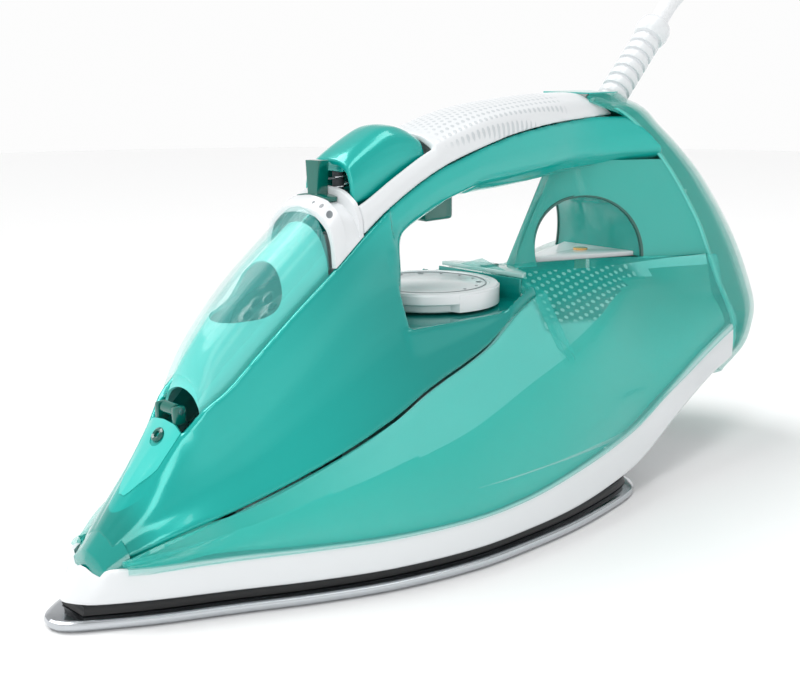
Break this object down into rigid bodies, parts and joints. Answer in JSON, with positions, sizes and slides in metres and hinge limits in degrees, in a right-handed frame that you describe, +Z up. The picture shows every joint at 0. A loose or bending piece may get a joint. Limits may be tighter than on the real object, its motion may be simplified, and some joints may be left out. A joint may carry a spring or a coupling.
{
  "type": "steam iron",
  "caption": "Steam iron with pointed soleplate, tinted see-through tank, looped handle, round temperature dial, clear nose flap and a coiled mains cord.",
  "frame": {"origin": "on the table under the middle of the iron, halfway between the tip of the soleplate and the back of the heel", "axes": "+X from the tip of the soleplate towards the heel, +Y to the right hand side seen from the heel, +Z up; the soleplate lies on Z = 0"},
  "size_m": [0.4645, 0.1865, 0.2062],
  "materials": {
    "sole_steel": "polished",
    "cast_aluminium": "cast",
    "element_steel": "dark oxide",
    "gasket": "matt silicone",
    "cover_steel": "pressed sheet",
    "black": "matt",
    "white": "satin",
    "teal": "satin pearl",
    "dark_teal": "gloss",
    "clear_teal": "clear tinted plastic",
    "clear": "clear plastic",
    "ivory": "matt",
    "steel": "plated",
    "amber": "clear amber",
    "valve_rubber": "matt",
    "cord_white": "satin PVC",
    "wire": "insulation",
    "ceramic": "matt ceramic"
  },
  "bodies": {
    "iron": {"soleplate": "sole_steel", "heater_casting": "cast_aluminium", "heating_element": "element_steel", "chamber_gasket": "gasket", "chamber_cover": "cover_steel", "heat_shield": "black", "skirt": "white", "rear_base": "white", "tank_shell": "clear_teal", "tank_floor": "ivory", "body_left": "teal", "body_right": "teal", "dial_deck": "teal", "post_back": "teal", "nozzle_panel": "dark_teal", "spray_nozzle": "dark_teal", "fill_door_pin": "steel", "fill_inlet": "dark_teal", "handle_lower": "teal", "handle_cover": "white", "slider_ring": "white", "valve_seat": "valve_rubber", "spray_spring": "steel", "spray_pump": "ivory", "boost_spring": "steel", "boost_pump": "ivory", "spray_hose": "clear", "dial_ledge": "clear", "dial_pointer": "dark_teal", "spindle_sleeve": "ivory", "thermostat": "ceramic", "thermal_fuse": "ceramic", "rear_pillar": "clear_teal", "pillar_liner": "white", "lamp_lens": "amber", "lamp": "amber", "heel_shell": "clear_teal", "terminal_block": "ivory", "wires": "wire", "cord_clamp": "ivory", "boot_socket": "ivory", "cord_boot": "cord_white", "cord_run": "cord_white", "cord_coil": "cord_white", "cord_tail": "cord_white", "coil_tie": "cord_white", "plug_body": "cord_white", "plug_pins": "steel", "screws": "steel"},
    "door": {"fill_door": "clear"},
    "slider": {"steam_slider": "dark_teal"},
    "rod": {"valve_rod": "ivory"},
    "spray": {"spray_button": "teal", "spray_piston": "ivory"},
    "trigger": {"boost_trigger": "dark_teal", "boost_piston": "ivory"},
    "dial": {"temperature_dial": "white", "spindle": "steel"}
  },
  "joints": [
    {"name": "door_hinge", "type": "hinge", "parent": "iron", "child": "door", "pos_m": [-0.119, 0, 0.0585], "axis": [0, -1, 0], "range_deg": [0, 60]},
    {"name": "steam_swing", "type": "hinge", "parent": "iron", "child": "slider", "pos_m": [-0.0593, 0, 0.08989], "axis": [1, 0, 0], "range_deg": [-17, 17]},
    {"name": "valve_lift", "type": "slide", "parent": "iron", "child": "rod", "axis": [0, 0, 1], "range_m": [-0.00158, 0.00158]},
    {"name": "spray_press", "type": "slide", "parent": "iron", "child": "spray", "axis": [0, 0, -1], "range_m": [0, 0.004], "stiffness_N_per_m": 350, "springref_m": -0.003, "deforming": ["spray_spring"]},
    {"name": "boost_press", "type": "slide", "parent": "iron", "child": "trigger", "axis": [0, 0, 1], "range_m": [0, 0.004], "stiffness_N_per_m": 350, "springref_m": -0.003, "deforming": ["boost_spring"]},
    {"name": "dial_turn", "type": "hinge", "parent": "iron", "child": "dial", "pos_m": [-0.008, 0, 0.08], "axis": [0, 0, 1], "range_deg": [-135, 135]}
  ],
  "couplings": [
    {"joint": "steam_swing", "follows": "valve_lift", "rad_per_m": 186.2}
  ]
}
